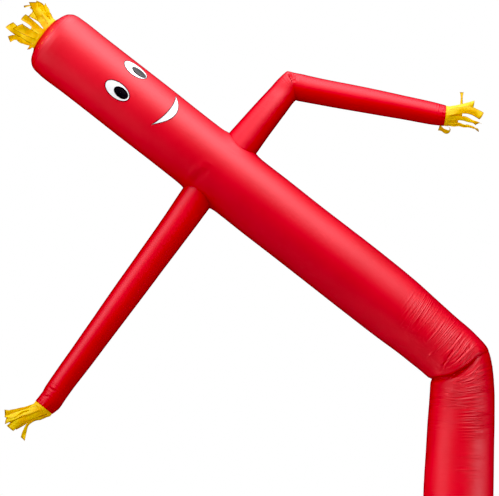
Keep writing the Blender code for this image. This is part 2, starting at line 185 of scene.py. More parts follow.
# Fringes: each strip's length, its headings in degrees away from straight out at root and tip, its drift
# to the side, twist, width as a share of its place, where along it the bend lies and over how much, and
# how far it widens
Strip = namedtuple("Strip", "length start end drift twist width bend_at bend_over flare",
                   defaults=(0.97, 0.6, 0.8, 0.35))
BAND_HEIGHT = 0.022
HAIR_STRIPS = table(Strip, (
    (0.112, 12, 10, 0.0, 80),
    (0.16, 8, -20, 0.02, 70),
    (0.18, 15, 0, 0.03, 50),
    (0.17, 18, -10, 0.04, 30),
    (0.11, 2, -3, 0.05, 35),
    (0.135, -15, -10, 0.04, 30),
    (0.165, -10, 0, 0.03, 40),
    (0.11, -10, -30, 0.01, 50),
    (0.02, -10, -20, 0.0, 60),
    (0.164, -10, -75, -0.02, 100, 0.6, 0.75, 0.4),
    (0.19, -8, 2, -0.04, 50),
    (0.138, -13, -8, -0.05, 25),
    (0.14, 3, -5, -0.05, 20, 0.75),
    (0.164, 22, 36, -0.05, 25),
    (0.197, 10, -40, -0.04, 70, 0.97, 0.65, 0.4),
    (0.15, 14, -10, -0.02, 80),
))
LEFT_HAND_STRIPS = table(Strip, (
    (0.168, 10, 101, 0.0, 50, 0.45, 0.48, 0.12),
    (0.166, 14, 18, -0.02, 45, 0.85),
    (0.23, 19, -26, -0.03, 30, 0.97),
    (0.212, 10, -22, -0.03, 50, 0.75),
    (0.206, 2, -13, -0.02, 50, 0.97, 0.6, 0.8, -0.6),
    (0.13, -25, -205, 0.0, 60, 0.7, 0.35, 0.5),
    (0.165, 2, -8, 0.02, 20, 0.97, 0.6, 0.8, -0.7),
    (0.07, 0, 0, 0.03, 30),
    (0.1, -2, -5, 0.03, 25),
    (0.215, 16, -22, 0.02, 40, 0.8),
))
RIGHT_HAND_STRIPS = table(Strip, (
    (0.1, -40, -36, 0.0, 15),
    (0.242, -31, 24, -0.02, 40, 0.5, 0.58, 0.3),
    (0.242, -33, -14, -0.03, 20),
    (0.222, -36, -26, -0.03, 15),
    (0.21, -23, -46, -0.02, 25),
    (0.197, -24, -46, 0.0, 70),
    (0.17, -26, -40, 0.02, 40),
    (0.215, -33, -30, 0.03, 20),
    (0.2, -31, -18, 0.03, 20),
    (0.12, -32, -28, 0.02, 40),
))

# Face patches: distance from the head end, degrees from the front towards the outer side, half sizes
Oval = namedtuple("Oval", "along azimuth half_length half_width")
EYE_WHITES = {
    "eye_white_left": Oval(0.592, 51.5, 0.091, 0.058),
    "eye_white_right": Oval(0.59, -0.5, 0.094, 0.053),
}
PUPILS = {
    "pupil_left": Oval(0.621, 51.2, 0.055, 0.03),
    "pupil_right": Oval(0.618, 0.3, 0.053, 0.032),
}
SMILE_AZIMUTH = 27.0
SMILE_TIP_ALONG = 0.897
SMILE_HALF_SPAN = 0.1405
SMILE_OUTER_SAG = 0.085
SMILE_INNER_SAG = 0.03

# Folds, as the camera sees them on the upright plane through the figure's axis: points of the line in metres,
# depth and width of the valley, then height, distance and width of the roll of cloth beside it (left of the
# line's way is plus)
Fold = namedtuple("Fold", "points valley width roll roll_at roll_width")
BODY_FOLDS = table(Fold, (
    # Diagonal wrinkles of the torso that run into the kink
    (((-0.0625, 2.717), (0.036, 2.842)), 0.004, 0.005, 0.003, -0.01, 0.006),
    (((-0.102, 2.605), (-0.016, 2.743)), 0.005, 0.006, 0.005, -0.012, 0.007),
    (((-0.01, 2.651), (0.095, 2.756)), 0.006, 0.006, 0.005, -0.012, 0.007),
    (((0.049, 2.638), (0.095, 2.684)), 0.005, 0.006, 0.004, -0.011, 0.007),
    # The deep part of the crease at the kink
    (((-0.158, 2.542), (-0.102, 2.549), (-0.03, 2.563), (0.0447, 2.604), (0.0888, 2.637)),
     0.009, 0.007, 0.0, 0.0, 0.01),
    # The soft fold that runs up from the right sleeve's root
    (((-1.745, 3.835), (-1.641, 3.934)), 0.009, 0.014, 0.008, 0.024, 0.016),
    # The ridge of leg cloth that runs out from under the lip
    (((0.115, 2.588), (0.22, 2.622)), 0.003, 0.007, 0.004, -0.014, 0.008),
))
# The lip of torso cloth over the leg at the kink: the line of its edge as the camera sees it, how far it
# stands out, how soft its edge is, how far up it reaches, how deep the leg's cloth lies under it and how
# far down
Lip = namedtuple("Lip", "points out edge reach sunk sunk_reach")
KINK_LIP = Lip(((-0.172, 2.541), (-0.102, 2.551), (-0.03, 2.565), (0.0447, 2.607), (0.0888, 2.64),
                (0.1342, 2.685), (0.21, 2.724)), 0.011, 0.013, 0.1, 0.017, 0.015)
# Patches of fine pleats: middle, way the pleats run in degrees, half length and width, and how much they show
Pleats = namedtuple("Pleats", "x z angle half_length half_width amount")
BODY_PLEATS = table(Pleats, (
    (-0.24, 2.985, 48, 0.13, 0.11, 0.6),
    (-0.082, 2.822, 48, 0.12, 0.09, 1.0),
    (0.016, 2.697, 44, 0.12, 0.07, 1.0),
    (0.115, 2.506, 0, 0.12, 0.11, 1.8),
    (0.03, 2.401, 0, 0.15, 0.07, 1.8),
    (0.121, 2.269, 0, 0.11, 0.12, 1.3),
    (-0.069, 2.243, 0, 0.09, 0.06, 0.9),
    (0.08, 1.98, 0, 0.11, 0.16, 0.7),
))
SLEEVE_PLEATS = table(Pleats, (
    (-1.075, 4.506, 70, 0.08, 0.07, 0.35),
    (-2.661, 2.467, -35, 0.09, 0.08, 0.35),
    (-0.11, 4.29, 79, 0.08, 0.05, 0.35),
))
SLEEVE_FOLDS = table(Fold, (
    # The upper arm's cloth laps over the forearm at the elbow
    (((-1.107, 4.555), (-1.076, 4.503)), 0.018, 0.007, 0.003, 0.013, 0.007),
    (((-1.066, 4.541), (-1.07, 4.5)), 0.014, 0.006, 0.003, 0.011, 0.006),
    # Short folds where the straight sleeve's cuff is drawn in
    (((-2.68, 2.48), (-2.634, 2.46)), 0.004, 0.006, 0.003, 0.012, 0.008),
    (((-2.713, 2.427), (-2.687, 2.424)), 0.003, 0.006, 0.003, 0.012, 0.008),
))


def linear(hex_colour):
    """Turn an sRGB hex colour into linear RGBA."""
    channels = [int(hex_colour[i:i + 2], 16) / 255 for i in (1, 3, 5)]
    return tuple(c / 12.92 if c <= 0.04045 else ((c + 0.055) / 1.055) ** 2.4 for c in channels) + (1.0,)


class AirDancerSettings(PropertyGroup):
    """Sizes and colours of the figure."""
    red: FloatVectorProperty(
        name="Tube cloth", description="Colour of the tube and the sleeves", subtype="COLOR", size=4,
        min=0.0, max=1.0, default=linear("#F00226"))
    yellow: FloatVectorProperty(
        name="Fringe cloth", description="Colour of the hair and hands", subtype="COLOR", size=4,
        min=0.0, max=1.0, default=linear("#FFE840"))
    white: FloatVectorProperty(
        name="Light patches", description="Colour of the eyes and smile", subtype="COLOR", size=4,
        min=0.0, max=1.0, default=linear("#F4F4F8"))
    black: FloatVectorProperty(
        name="Dark patches", description="Colour of the pupils", subtype="COLOR", size=4,
        min=0.0, max=1.0, default=linear("#1E1C1F"))
    body_sides: IntProperty(
        name="Body sides", description="Points round the tube", default=200, min=48, max=256)
    sleeve_sides: IntProperty(
        name="Sleeve sides", description="Points round a sleeve", default=128, min=28, max=160)
    fold_scale: FloatProperty(
        name="Fold depth", description="Depth of the folds against the ones modelled", default=1.0,
        min=0.0, max=2.0)
    unevenness: FloatProperty(
        name="Unevenness", description="How far the inflated cloth strays from a true tube", default=0.0022,
        min=0.0, max=0.02, unit="LENGTH")
    stitch_length: FloatProperty(
        name="Stitch length", description="Length of one stitch", default=0.005, min=0.002, max=0.02,
        unit="LENGTH")


def unit(vectors):
    """Scale each vector of an array to length one."""
    return vectors / np.maximum(np.linalg.norm(vectors, axis=-1, keepdims=True), 1e-12)


def run_along(points):
    """Distance from the first point to each point of a line, or of the mean line of a grid."""
    steps = np.linalg.norm(np.diff(points, axis=0), axis=-1)
    if steps.ndim > 1:
        steps = steps.mean(axis=1)
    return np.concatenate(([0.0], np.cumsum(steps)))


def ring_angles(sides):
    """Angles of evenly spaced points round a ring."""
    return 2 * math.pi * np.arange(sides) / sides


def eased(share):
    """A share from 0 to 1 that starts and ends gently."""
    return share * share * (3 - 2 * share)


def monotone(knots, values, at):
    """Smooth curve through rows of values that never overshoots them."""
    knots, values = np.asarray(knots, float), np.asarray(values, float)
    step = np.diff(knots)[:, None]
    slope = np.diff(values, axis=0) / step
    rise = slope[:-1] * slope[1:] > 0
    before, after = step[:-1] + 2 * step[1:], 2 * step[:-1] + step[1:]
    safe = np.where(slope == 0, 1.0, slope)
    tangent = np.zeros_like(values)
    tangent[1:-1] = np.where(rise, (before + after) / (before / safe[:-1] + after / safe[1:]), 0.0)
    tangent[0], tangent[-1] = slope[0], slope[-1]
    i = np.clip(np.searchsorted(knots, at, side="right") - 1, 0, len(step) - 1)
    width = step[i]
    t = ((at - knots[i])[:, None]) / width
    low, high = values[i], values[i + 1]
    return (low * (2 * t ** 3 - 3 * t ** 2 + 1) + high * (3 * t ** 2 - 2 * t ** 3)
            + tangent[i] * width * (t ** 3 - 2 * t ** 2 + t) + tangent[i + 1] * width * (t ** 3 - t ** 2))


def grid_normals(grid):
    """Outward normals of a tube given as rings of points."""
    along = np.gradient(grid, axis=0)
    around = np.roll(grid, -1, axis=1) - np.roll(grid, 1, axis=1)
    normals = unit(np.cross(around, along))
    middle = grid.mean(axis=1, keepdims=True)
    flip = np.sign(((grid - middle) * normals).sum(axis=(1, 2), keepdims=True))
    return normals * np.where(flip == 0, 1.0, flip)


def as_seen(points):
    """X and Z where the camera sees points on the upright plane through the figure's axis."""
    reach = -CAMERA[1] / (points[..., 1] - CAMERA[1])
    return np.stack((CAMERA[0] + (points[..., 0] - CAMERA[0]) * reach,
                     CAMERA[2] + (points[..., 2] - CAMERA[2]) * reach), axis=-1)


def line_distance(places, line):
    """Signed distance from a line of points, left of its way plus, and the share of the way along it."""
    line = np.asarray(line, float)
    passed = run_along(line)
    best = np.full(places.shape[:-1], np.inf)
    signed = np.zeros_like(best)
    share = np.zeros_like(best)
    for i, length in enumerate(np.diff(passed)):
        way = (line[i + 1] - line[i]) / length
        offset = places - line[i]
        run = offset @ way
        held = np.clip(run, 0.0, length)
        gap = np.linalg.norm(offset - held[..., None] * way, axis=-1)
        side = way[0] * offset[..., 1] - way[1] * offset[..., 0]
        nearer = gap < best
        best = np.where(nearer, gap, best)
        signed = np.where(nearer, np.where(side >= 0, gap, -gap), signed)
        share = np.where(nearer, (passed[i] + held) / passed[-1], share)
    return signed, share


def bell(value, width):
    """A smooth hump of height one."""
    return np.exp(-(value / width) ** 2)


FOLD_FADE = 0.18           # share of a fold's line over which it fades out at each end
LIP_FADE = 0.16            # the same for the lip


def fold_height(places, folds):
    """Height of the cloth over its base at each place, from lines of folds."""
    height = np.zeros(places.shape[:-1])
    for fold in folds:
        signed, share = line_distance(places, fold.points)
        fade = np.clip(np.minimum(share, 1 - share) / FOLD_FADE, 0.25, 1.0)
        height -= fold.valley * bell(signed, fold.width) * fade
        height += fold.roll * bell(signed - fold.roll_at, fold.roll_width) * fade
    return height


def lip_height(places, lip):
    """Height of the cloth along a lip that hangs over the cloth under it."""
    signed, share = line_distance(places, lip.points)
    fade = np.clip(np.minimum(share + 0.06, 1.015 - share) / LIP_FADE, 0.0, 1.0)
    over = lip.out * (1 - bell(signed, lip.edge)) * bell(signed, lip.reach)
    under = -lip.sunk * np.exp(np.minimum(signed, 0.0) / lip.sunk_reach)
    return np.where(signed > 0, over, under) * fade


def pleat_amount(places, patches, everywhere):
    """How strongly the fine pleats of the cloth show at each place."""
    amount = np.full(places.shape[:-1], everywhere)
    for patch in patches:
        turn = math.radians(patch.angle)
        offset = places - np.array((patch.x, patch.z))
        run = offset[..., 0] * math.cos(turn) + offset[..., 1] * math.sin(turn)
        across = offset[..., 1] * math.cos(turn) - offset[..., 0] * math.sin(turn)
        shown = patch.amount * bell(run, patch.half_length) * bell(across, patch.half_width)
        amount = np.maximum(amount, shown)
    return amount


def uneven(points, size, seed):
    """Smooth random height between -1 and 1 for each point."""
    flat = points.reshape(-1, 3) / size + seed
    values = [noise.noise(Vector(place)) for place in flat]
    return np.array(values).reshape(points.shape[:-1])


def finish_mesh(name, points, faces, uvs, materials, face_materials=None, pleats=None):
    """Make a smooth shaded object of the figure from arrays, with its cloth coordinates in metres."""
    mesh = bpy.data.meshes.new(name)
    mesh.from_pydata([tuple(p) for p in points], [], faces)
    layer = mesh.uv_layers.new(name="cloth")
    corners = np.concatenate([np.asarray(face_uv, float) for face_uv in uvs])
    layer.data.foreach_set("uv", corners.ravel())
    for material in materials:
        mesh.materials.append(material)
    if face_materials is not None:
        mesh.polygons.foreach_set("material_index", face_materials)
    if pleats is not None:
        mesh.attributes.new("pleats", "FLOAT", "POINT").data.foreach_set("value", pleats.ravel())
    mesh.shade_smooth()
    obj = bpy.data.objects.new(name, mesh)
    bpy.context.scene.collection.objects.link(obj)
    return obj


def cloth_faces(grid, closed=False, first=0):
    """Row, column, corners and cloth coordinates in metres of each face of a grid of points."""
    sides = grid.shape[1]
    u, v = run_along(grid.swapaxes(0, 1)), run_along(grid)
    if closed:
        u = np.append(u, u[-1] + np.linalg.norm(grid[:, 0] - grid[:, -1], axis=1).mean())
    for r in range(len(v) - 1):
        low, high = first + r * sides, first + (r + 1) * sides
        for c in range(len(u) - 1):
            n = (c + 1) % sides
            yield (r, c, (low + c, low + n, high + n, high + c),
                   ((u[c], v[r]), (u[c + 1], v[r]), (u[c + 1], v[r + 1]), (u[c], v[r + 1])))


def tube_mesh(name, grid, materials, closed=True, seam=False, skip=None, row_material=None, pleats=None):
    """Turn rings of points into a sheet, wrapped round if it is closed; a seam leaves its edges unjoined."""
    if seam:
        grid, skip, pleats = (None if rows is None else np.concatenate((rows, rows[:, :1]), axis=1)
                              for rows in (grid, skip, pleats))
    skip = None if skip is None else skip.ravel()
    faces, uvs, kinds = [], [], []
    for row, _, face, uv in cloth_faces(grid, closed and not seam):
        if skip is not None and all(skip[index] for index in face):
            continue
        faces.append(face)
        uvs.append(uv)
        if row_material is not None:
            kinds.append(row_material(row))
    return finish_mesh(name, grid.reshape(-1, 3), faces, uvs, materials, kinds or None, pleats)


HEM_FOLD = 0.0035          # how far a turned hem stands inside its cloth


def turned_hem(grid, normals, ring, height):
    """Rings that fold the cloth inside at its first or last ring, as a sewn hem does."""
    edge = grid[ring]
    inward = -normals[ring] * HEM_FOLD
    step = 1 if ring == 0 else -1
    back = unit(grid[ring + 2 * step] - edge)
    return np.array((edge + inward / 2 - back * HEM_FOLD / 3, edge + inward + back * HEM_FOLD / 2,
                     edge + inward + back * height))


# Thread is about 0.3 mm thick; these stitches are drawn thicker, as thick as they need to be to show
STITCH_HALF_WIDTH = 0.0009
STITCH_HEIGHT = 0.00144
STITCH_LIFT = 0.0004       # how far the thread lies above the cloth
STITCH_REACH = 0.001       # how far on and back its way is read


def points_at(at, passed, line):
    """Rows of a line, read at distances along it."""
    return np.stack([np.interp(at, passed, column) for column in line.T], axis=1)


def stitch_rows(name, rows, length, material):
    """Sewn thread: one small spindle for each stitch along closed or open lines of points and normals."""
    points, faces, uvs = [], [], []
    for line, normals, closed, pitch in rows:
        if closed:
            line, normals = np.vstack((line, line[:1])), np.vstack((normals, normals[:1]))
        passed = run_along(line)
        count = max(1, int(passed[-1] / pitch))
        at = (np.arange(count) + 0.5) * passed[-1] / count
        outward = unit(points_at(at, passed, normals))
        way = unit(points_at(at + STITCH_REACH, passed, line) - points_at(at - STITCH_REACH, passed, line))
        sides = unit(np.cross(outward, way)) * STITCH_HALF_WIDTH
        for middle, side, top, half in zip(points_at(at, passed, line), sides, outward * STITCH_HEIGHT,
                                           way * length / 2):
            base = len(points)
            points += [middle - half, middle + side, middle + top, middle - side, middle + half]
            faces += [(base, base + 1, base + 2), (base, base + 2, base + 3), (base + 4, base + 2, base + 1),
                      (base + 4, base + 3, base + 2)]
            uvs += [((0.0, 0.0), (0.001, 0.001), (0.0, 0.001))] * 4
    return finish_mesh(name, points, faces, uvs, [material])


def declare(piece, slot, *nodes):
    """Fix a piece to the figure in the place of its plain solids."""
    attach(piece, "root")
    if nodes:
        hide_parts(*nodes)


def add_node(tree, kind, inputs=None, **settings):
    """Add a node with its settings, and link or set its inputs."""
    node = tree.nodes.new(kind)
    for name, value in settings.items():
        setattr(node, name, value)
    for name, value in (inputs or {}).items():
        if isinstance(value, bpy.types.NodeSocket):
            tree.links.new(value, node.inputs[name])
        else:
            node.inputs[name].default_value = value
    return node


def new_material(name):
    """Make a material with nothing but its output, and return it with its node tree and that output."""
    material = bpy.data.materials.new(name)
    material.use_nodes = True
    tree = material.node_tree
    tree.nodes.clear()
    return material, tree, add_node(tree, "ShaderNodeOutputMaterial")


RIPSTOP_GRID = 0.008       # heavy threads of ripstop lie 5 to 8 mm apart
CRINKLE_SIZE = 0.070       # soft crinkles left by packing the cloth away
SHADE_SIZE = 0.45          # uneven dye and light through the cloth
# Fine pleats where the cloth is bunched up at a bend. Real ones lie closer; these are as coarse as they
# need to be to show.
PLEAT_SPACING = 0.013
PLEAT_LENGTH = 0.300
PLEAT_DEPTH = 0.016
CRINKLE_DEPTH = 0.004
THREAD_DEPTH = 0.00005     # how far a heavier thread stands out of the weave
THREAD_TWIST = 0.0012      # one twist of the thread, drawn twice as long as the real one so that it can show
WAVE_LENGTH = math.pi / 10  # metres from band to band of a wave texture at scale 1


def ripstop_nylon(name, colour, deep, roughness, crinkle, specular=0.5, rim=0.0, through=0.0,
                  shade_size=SHADE_SIZE, crinkle_size=CRINKLE_SIZE):
    """Coated ripstop nylon, woven with a grid of heavier threads: a smooth, slightly waxy satin whose broad
    highlight breaks up over packing crinkles. A rim makes the cloth deeper in colour where it turns away, and
    loose strips let some light through."""
    material, tree, output = new_material(name)
    place = add_node(tree, "ShaderNodeTexCoord")
    bands = []
    for direction in ("X", "Y"):
        bands.append(add_node(tree, "ShaderNodeTexWave", {
            "Vector": place.outputs["UV"], "Scale": WAVE_LENGTH / RIPSTOP_GRID, "Distortion": 0.0},
            wave_type="BANDS", bands_direction=direction, wave_profile="SIN"))
    thread = add_node(tree, "ShaderNodeMath", {0: bands[0].outputs["Fac"], 1: bands[1].outputs["Fac"]},
                      operation="MAXIMUM")
    grid = add_node(tree, "ShaderNodeMath", {0: thread.outputs[0], 1: 12.0}, operation="POWER")
    shade = add_node(tree, "ShaderNodeTexNoise", {
        "Vector": place.outputs["Object"], "Scale": 1 / shade_size, "Detail": 2.0, "Roughness": 0.5})
    spread = add_node(tree, "ShaderNodeMapRange", {
        "Value": shade.outputs["Fac"], "From Min": 0.30, "From Max": 0.75, "To Min": 0.0, "To Max": 0.55})
    cloth = add_node(tree, "ShaderNodeMix", {"Factor": spread.outputs["Result"], "A": colour, "B": deep},
                     data_type="RGBA")
    crinkles = add_node(tree, "ShaderNodeTexNoise", {
        "Vector": place.outputs["Object"], "Scale": 1 / crinkle_size, "Detail": 3.0, "Roughness": 0.55,
        "Distortion": 0.6})
    low = add_node(tree, "ShaderNodeBump", {
        "Height": crinkles.outputs["Fac"], "Strength": crinkle, "Distance": CRINKLE_DEPTH})
    stretched = add_node(tree, "ShaderNodeVectorMath", {
        0: place.outputs["UV"], 1: (1 / PLEAT_LENGTH, 1 / PLEAT_SPACING, 1.0)}, operation="MULTIPLY")
    waves = add_node(tree, "ShaderNodeTexNoise", {
        "Vector": stretched.outputs["Vector"], "Scale": 1.0, "Detail": 0.0, "Roughness": 0.35,
        "Distortion": 0.1})
    middle = add_node(tree, "ShaderNodeMath", {0: waves.outputs["Fac"], 1: 0.5}, operation="SUBTRACT")
    creased = add_node(tree, "ShaderNodeMath", {0: middle.outputs[0]}, operation="ABSOLUTE")
    amount = add_node(tree, "ShaderNodeAttribute", attribute_name="pleats")
    pleats = add_node(tree, "ShaderNodeMath", {0: creased.outputs[0], 1: amount.outputs["Fac"]},
                      operation="MULTIPLY")
    pleated = add_node(tree, "ShaderNodeBump", {
        "Height": pleats.outputs[0], "Strength": 1.0, "Distance": PLEAT_DEPTH,
        "Normal": low.outputs["Normal"]})
    fine = add_node(tree, "ShaderNodeBump", {
        "Height": grid.outputs[0], "Strength": 0.25, "Distance": THREAD_DEPTH,
        "Normal": pleated.outputs["Normal"]})
    shader = add_node(tree, "ShaderNodeBsdfPrincipled", {
        "Base Color": cloth.outputs["Result"], "Roughness": roughness, "IOR": 1.52,
        "Specular IOR Level": specular, "Coat Weight": rim, "Coat IOR": 1.0, "Coat Roughness": 1.0,
        "Coat Tint": (1 - 0.18 * rim, 1 - 0.24 * rim, 1 - 0.20 * rim, 1.0), "Normal": fine.outputs["Normal"]})
    if through > 0:
        glow = add_node(tree, "ShaderNodeBsdfTranslucent", {"Color": cloth.outputs["Result"]})
        shader = add_node(tree, "ShaderNodeMixShader", {0: through, 1: shader.outputs[0], 2: glow.outputs[0]})
    tree.links.new(shader.outputs[0], output.inputs["Surface"])
    return material


def sewing_thread(name, colour):
    """Twisted polyester thread, darker than the cloth and matt, so that its rows show as fine dark lines."""
    material, tree, output = new_material(name)
    place = add_node(tree, "ShaderNodeTexCoord")
    twist = add_node(tree, "ShaderNodeTexWave", {
        "Vector": place.outputs["Object"], "Scale": WAVE_LENGTH / THREAD_TWIST}, wave_type="BANDS",
        bands_direction="DIAGONAL")
    ply = add_node(tree, "ShaderNodeBump", {
        "Height": twist.outputs["Fac"], "Strength": 0.3, "Distance": 0.0002})
    shader = add_node(tree, "ShaderNodeBsdfPrincipled", {
        "Base Color": colour, "Roughness": 0.9, "Specular IOR Level": 0.1, "Normal": ply.outputs["Normal"]})
    tree.links.new(shader.outputs[0], output.inputs["Surface"])
    return material


def materials():
    """The cloths and threads, made once."""
    settings = bpy.context.scene.air_dancer
    made = bpy.data.materials
    if "red_ripstop_nylon" not in made:
        deep_red = linear("#D80218")
        ripstop_nylon("red_ripstop_nylon", settings.red, deep_red, 0.55, 0.16, specular=0.85, rim=0.8)
        # The sleeves are blown out harder, so their satin is a little tighter and its edges are deeper
        ripstop_nylon("red_sleeve_nylon", settings.red, deep_red, 0.52, 0.22, specular=0.60, rim=1.0)
        # Thin uncoated strips that glow where the light comes through them, orange where they overlap
        ripstop_nylon("yellow_ripstop_nylon", settings.yellow, linear("#FF9C00"), 0.60, 1.0, specular=0.3,
                      through=0.35, shade_size=0.07, crinkle_size=0.025)
        # Patches lie flat, so they show no more than a faint crinkle
        ripstop_nylon("white_patch_nylon", settings.white, linear("#E6E6EE"), 0.50, 0.10)
        ripstop_nylon("black_patch_nylon", settings.black, linear("#2A282C"), 0.42, 0.10)
        sewing_thread("red_polyester_thread", linear("#8E0410"))
        sewing_thread("dark_polyester_thread", linear("#241A1C"))
        # The strips' cut edges, hot-knife sealed into a smoother bead; their darker colour is painted shade
        # along each edge
        ripstop_nylon("hot_cut_edge", linear("#C89A10"), linear("#A88410"), 0.55, 0.10, specular=0.4)
    return made


SHOULDER_RINGS = 14        # rings over the rounded shoulder, which keeps its shape
MOUTH_RINGS = 3            # rings at the mouth that keep theirs
ROOT_FLARE = 0.008         # how far the torso's cloth rises to meet a sleeve
ROOT_REACH = 0.022         # and how far from the sleeve it does
ROOT_LAP = 0.024           # torso cloth left inside a sleeve's root


def depth_of(half_width):
    """Half depth of a section of the tube, so that its way round stays about the same."""
    return math.sqrt(2 * TUBE_RADIUS ** 2 - half_width ** 2)


def body_rows():
    """Every section of the tube from the mouth to the cap's seam, as columns of numbers."""
    rows = []
    for section in SECTIONS:
        half = math.dist((section.inner_x, section.inner_z), (section.outer_x, section.outer_z)) / 2
        rows.append((*section[:4], depth_of(half), section.drawn_in, section.drop))
    ends = [(*row, depth_of(row.half_width)) for row in STATIONS]
    ends += [(row.along, row.radius, 0.0, row.radius) for row in SHOULDER]
    for along, half, offset, depth in ends:
        centre = HEAD_END + TORSO_DOWN * along + TORSO_OUTER * offset
        inner, outer = centre - TORSO_OUTER * half, centre + TORSO_OUTER * half
        rows.append((inner[0], inner[2], outer[0], outer[2], depth, 0.0, 0.0))
    return np.array(rows)


def body_grid(sides):
    """Rings of points of the tube before its folds."""
    rows = body_rows()
    knots = (run_along(rows[:, 0:2]) + run_along(rows[:, 2:4])) / 2
    at = [0.0]
    for zone in BODY_ZONES:
        while at[-1] < min(zone.until, knots[-1] - zone.step):
            at.append(at[-1] + zone.step)
    shoulder = knots[-len(SHOULDER) - 1]
    at = [place for place in at if place < shoulder]
    at += list(np.linspace(shoulder, knots[-1], SHOULDER_RINGS))
    values = monotone(knots, rows, np.array(at))
    turn = math.pi / 2 + ring_angles(sides)
    outward, side = np.cos(turn)[None, :, None], np.sin(turn)[None, :, None]
    inner, outer = (np.insert(values[:, k:k + 2], 1, 0.0, axis=1)[:, None] for k in (0, 2))
    depth, drawn_in, drop = (values[:, k][:, None, None] for k in (4, 5, 6))
    # The crease draws in the front and the back, less and less towards the outer side
    creased = eased(np.clip((0.85 - outward) / 0.6, 0.0, 1.0))
    grid = (inner + outer) / 2 + (outer - inner) / 2 * outward
    grid = grid + BACKWARD * side * depth * (1 - drawn_in * creased)
    grid[..., 2:3] -= drop * np.abs(side) * np.tanh((0.38 - outward) / 0.2)
    return grid


def sleeve_axis_distance(points, rows):
    """Distance of points from a sleeve's first straight stretch, and how far out along it they are."""
    start, end = np.array(rows)[:2, :3]
    way = unit(end - start)
    offset = points - start
    run = offset @ way
    return np.linalg.norm(offset - run[..., None] * way, axis=-1), run


def make_body_cloth(settings):
    """The one tube of leg, waist and torso with its folds, ripples, hem and the holes under the sleeves."""
    grid = body_grid(settings.body_sides)
    seen = as_seen(grid)
    height = (fold_height(seen, BODY_FOLDS) + lip_height(seen, KINK_LIP)) * settings.fold_scale
    height += uneven(grid, size=0.34, seed=3.1) * settings.unevenness
    for rows in (LEFT_SLEEVE, RIGHT_SLEEVE):
        distance, run = sleeve_axis_distance(grid, rows)
        beyond = np.maximum(0.0, distance - rows[0].half_width)
        height += np.where(run > 0.0, ROOT_FLARE * np.exp(-beyond / ROOT_REACH), 0.0)
    height[:MOUTH_RINGS] = 0.0
    height[-SHOULDER_RINGS:] = 0.0
    grid = grid + grid_normals(grid) * height[..., None]
    normals = grid_normals(grid)
    full = np.concatenate((turned_hem(grid, normals, 0, HEM_HEIGHT)[::-1], grid))
    skip = np.zeros(full.shape[:2], bool)
    for rows in (LEFT_SLEEVE, RIGHT_SLEEVE):
        distance, run = sleeve_axis_distance(full, rows)
        skip |= (distance < rows[0].half_width - ROOT_LAP) & (run > 0.0)
    cloth = tube_mesh("body_cloth", full, [materials()["red_ripstop_nylon"]], seam=True, skip=skip,
                      pleats=pleat_amount(as_seen(full), BODY_PLEATS, everywhere=0.04))
    declare(cloth, "red_nylon", "body_tube")
    tall = float(run_along(full)[-1])
    return grid, normals


CAP_RINGS = 20
CAP_FADE = 4.0             # rings over which the gathers at its seam fade out
CAP_HEM = 0.014            # width of the hem round the vent


def cap_grid(sides):
    """Rings of the domed cap from its seam to the vent, and the way outward at each of their points."""
    profile = np.array(CAP)
    passed = run_along(profile)
    along, radius = monotone(passed, profile, np.linspace(0, passed[-1], CAP_RINGS)).T[..., None, None]
    turn = ring_angles(sides)
    ring = TORSO_OUTER * np.cos(turn)[:, None] + BACKWARD * np.sin(turn)[:, None]
    return HEAD_END + TORSO_DOWN * along + ring * radius, ring


def gathers(sides, height, count, drift, waves):
    """Heights round a ring of cloth sewn into a seam with gathers that are a little uneven."""
    turn = ring_angles(sides)
    return height * np.cos(count * turn + drift * np.sin(waves * turn))


def make_head_cap(settings):
    """The disc sewn into the head end: faint gathers run in from its seam, and the vent has a narrow hem."""
    grid, ring = cap_grid(settings.body_sides)
    gather = gathers(settings.body_sides, height=0.0010, count=24, drift=1.2, waves=3)
    fade = np.exp(-np.arange(len(grid)) / CAP_FADE)[:, None]
    grid = grid - TORSO_DOWN * (gather * fade)[..., None]
    edge = grid[-1]
    folded = edge + TORSO_DOWN * 0.0025
    hem = np.array((edge - ring * 0.0010 + TORSO_DOWN * 0.0012, folded, folded + ring * CAP_HEM))
    cloth = tube_mesh("head_cap_cloth", np.concatenate((grid, hem)), [materials()["red_ripstop_nylon"]])
    declare(cloth, "red_nylon", "head_cap")


SLEEVE_STEP = 0.0065       # from ring to ring
ROOT_RINGS = 15            # rings from the torso to the end of a sleeve's first stretch
ROOT_FADE = 10.0           # rings over which the folds come in from the root
CUFF_FADE = 5.0            # rings over which they give way to the cuff's gathers
CUFF_HEM = 0.035           # width of the hem at a cuff


def sleeve_frames(rows, at=None):
    """The table's numbers, the facing and the across and beside directions at stations along a sleeve."""
    values = np.array(rows)
    passed = run_along(values[:, :3])
    found = monotone(passed, values, passed if at is None else at)
    heading = np.radians(found[:, 3])
    travel = unit(np.gradient(found[:, :3], axis=0))
    level = np.sqrt(np.maximum(0.0, 1 - travel[:, 1] ** 2))
    facing = np.stack((np.cos(heading) * level, travel[:, 1], np.sin(heading) * level), axis=1)
    across = np.stack((-np.sin(heading), np.zeros(len(found)), np.cos(heading)), axis=1)
    return found, facing, across, np.cross(facing, across)


def sleeve_rings(rows, at, sides):
    """Rings of points of a sleeve at stations along it."""
    found, _, across, beside = sleeve_frames(rows, at)
    half_width, half_depth, drawn_in = found[:, 4:].T[..., None]
    turn = ring_angles(sides) - math.pi / 2
    outward, side = np.cos(turn), np.sin(turn)
    # Cloth bunched up at a bend draws in on the outer side of it
    tuck = drawn_in * bell(outward - 0.75, 0.3)
    width, depth = (half_width - tuck) * outward, (half_depth - tuck) * side
    return found[:, None, :3] + across[:, None] * width[..., None] + beside[:, None] * depth[..., None]


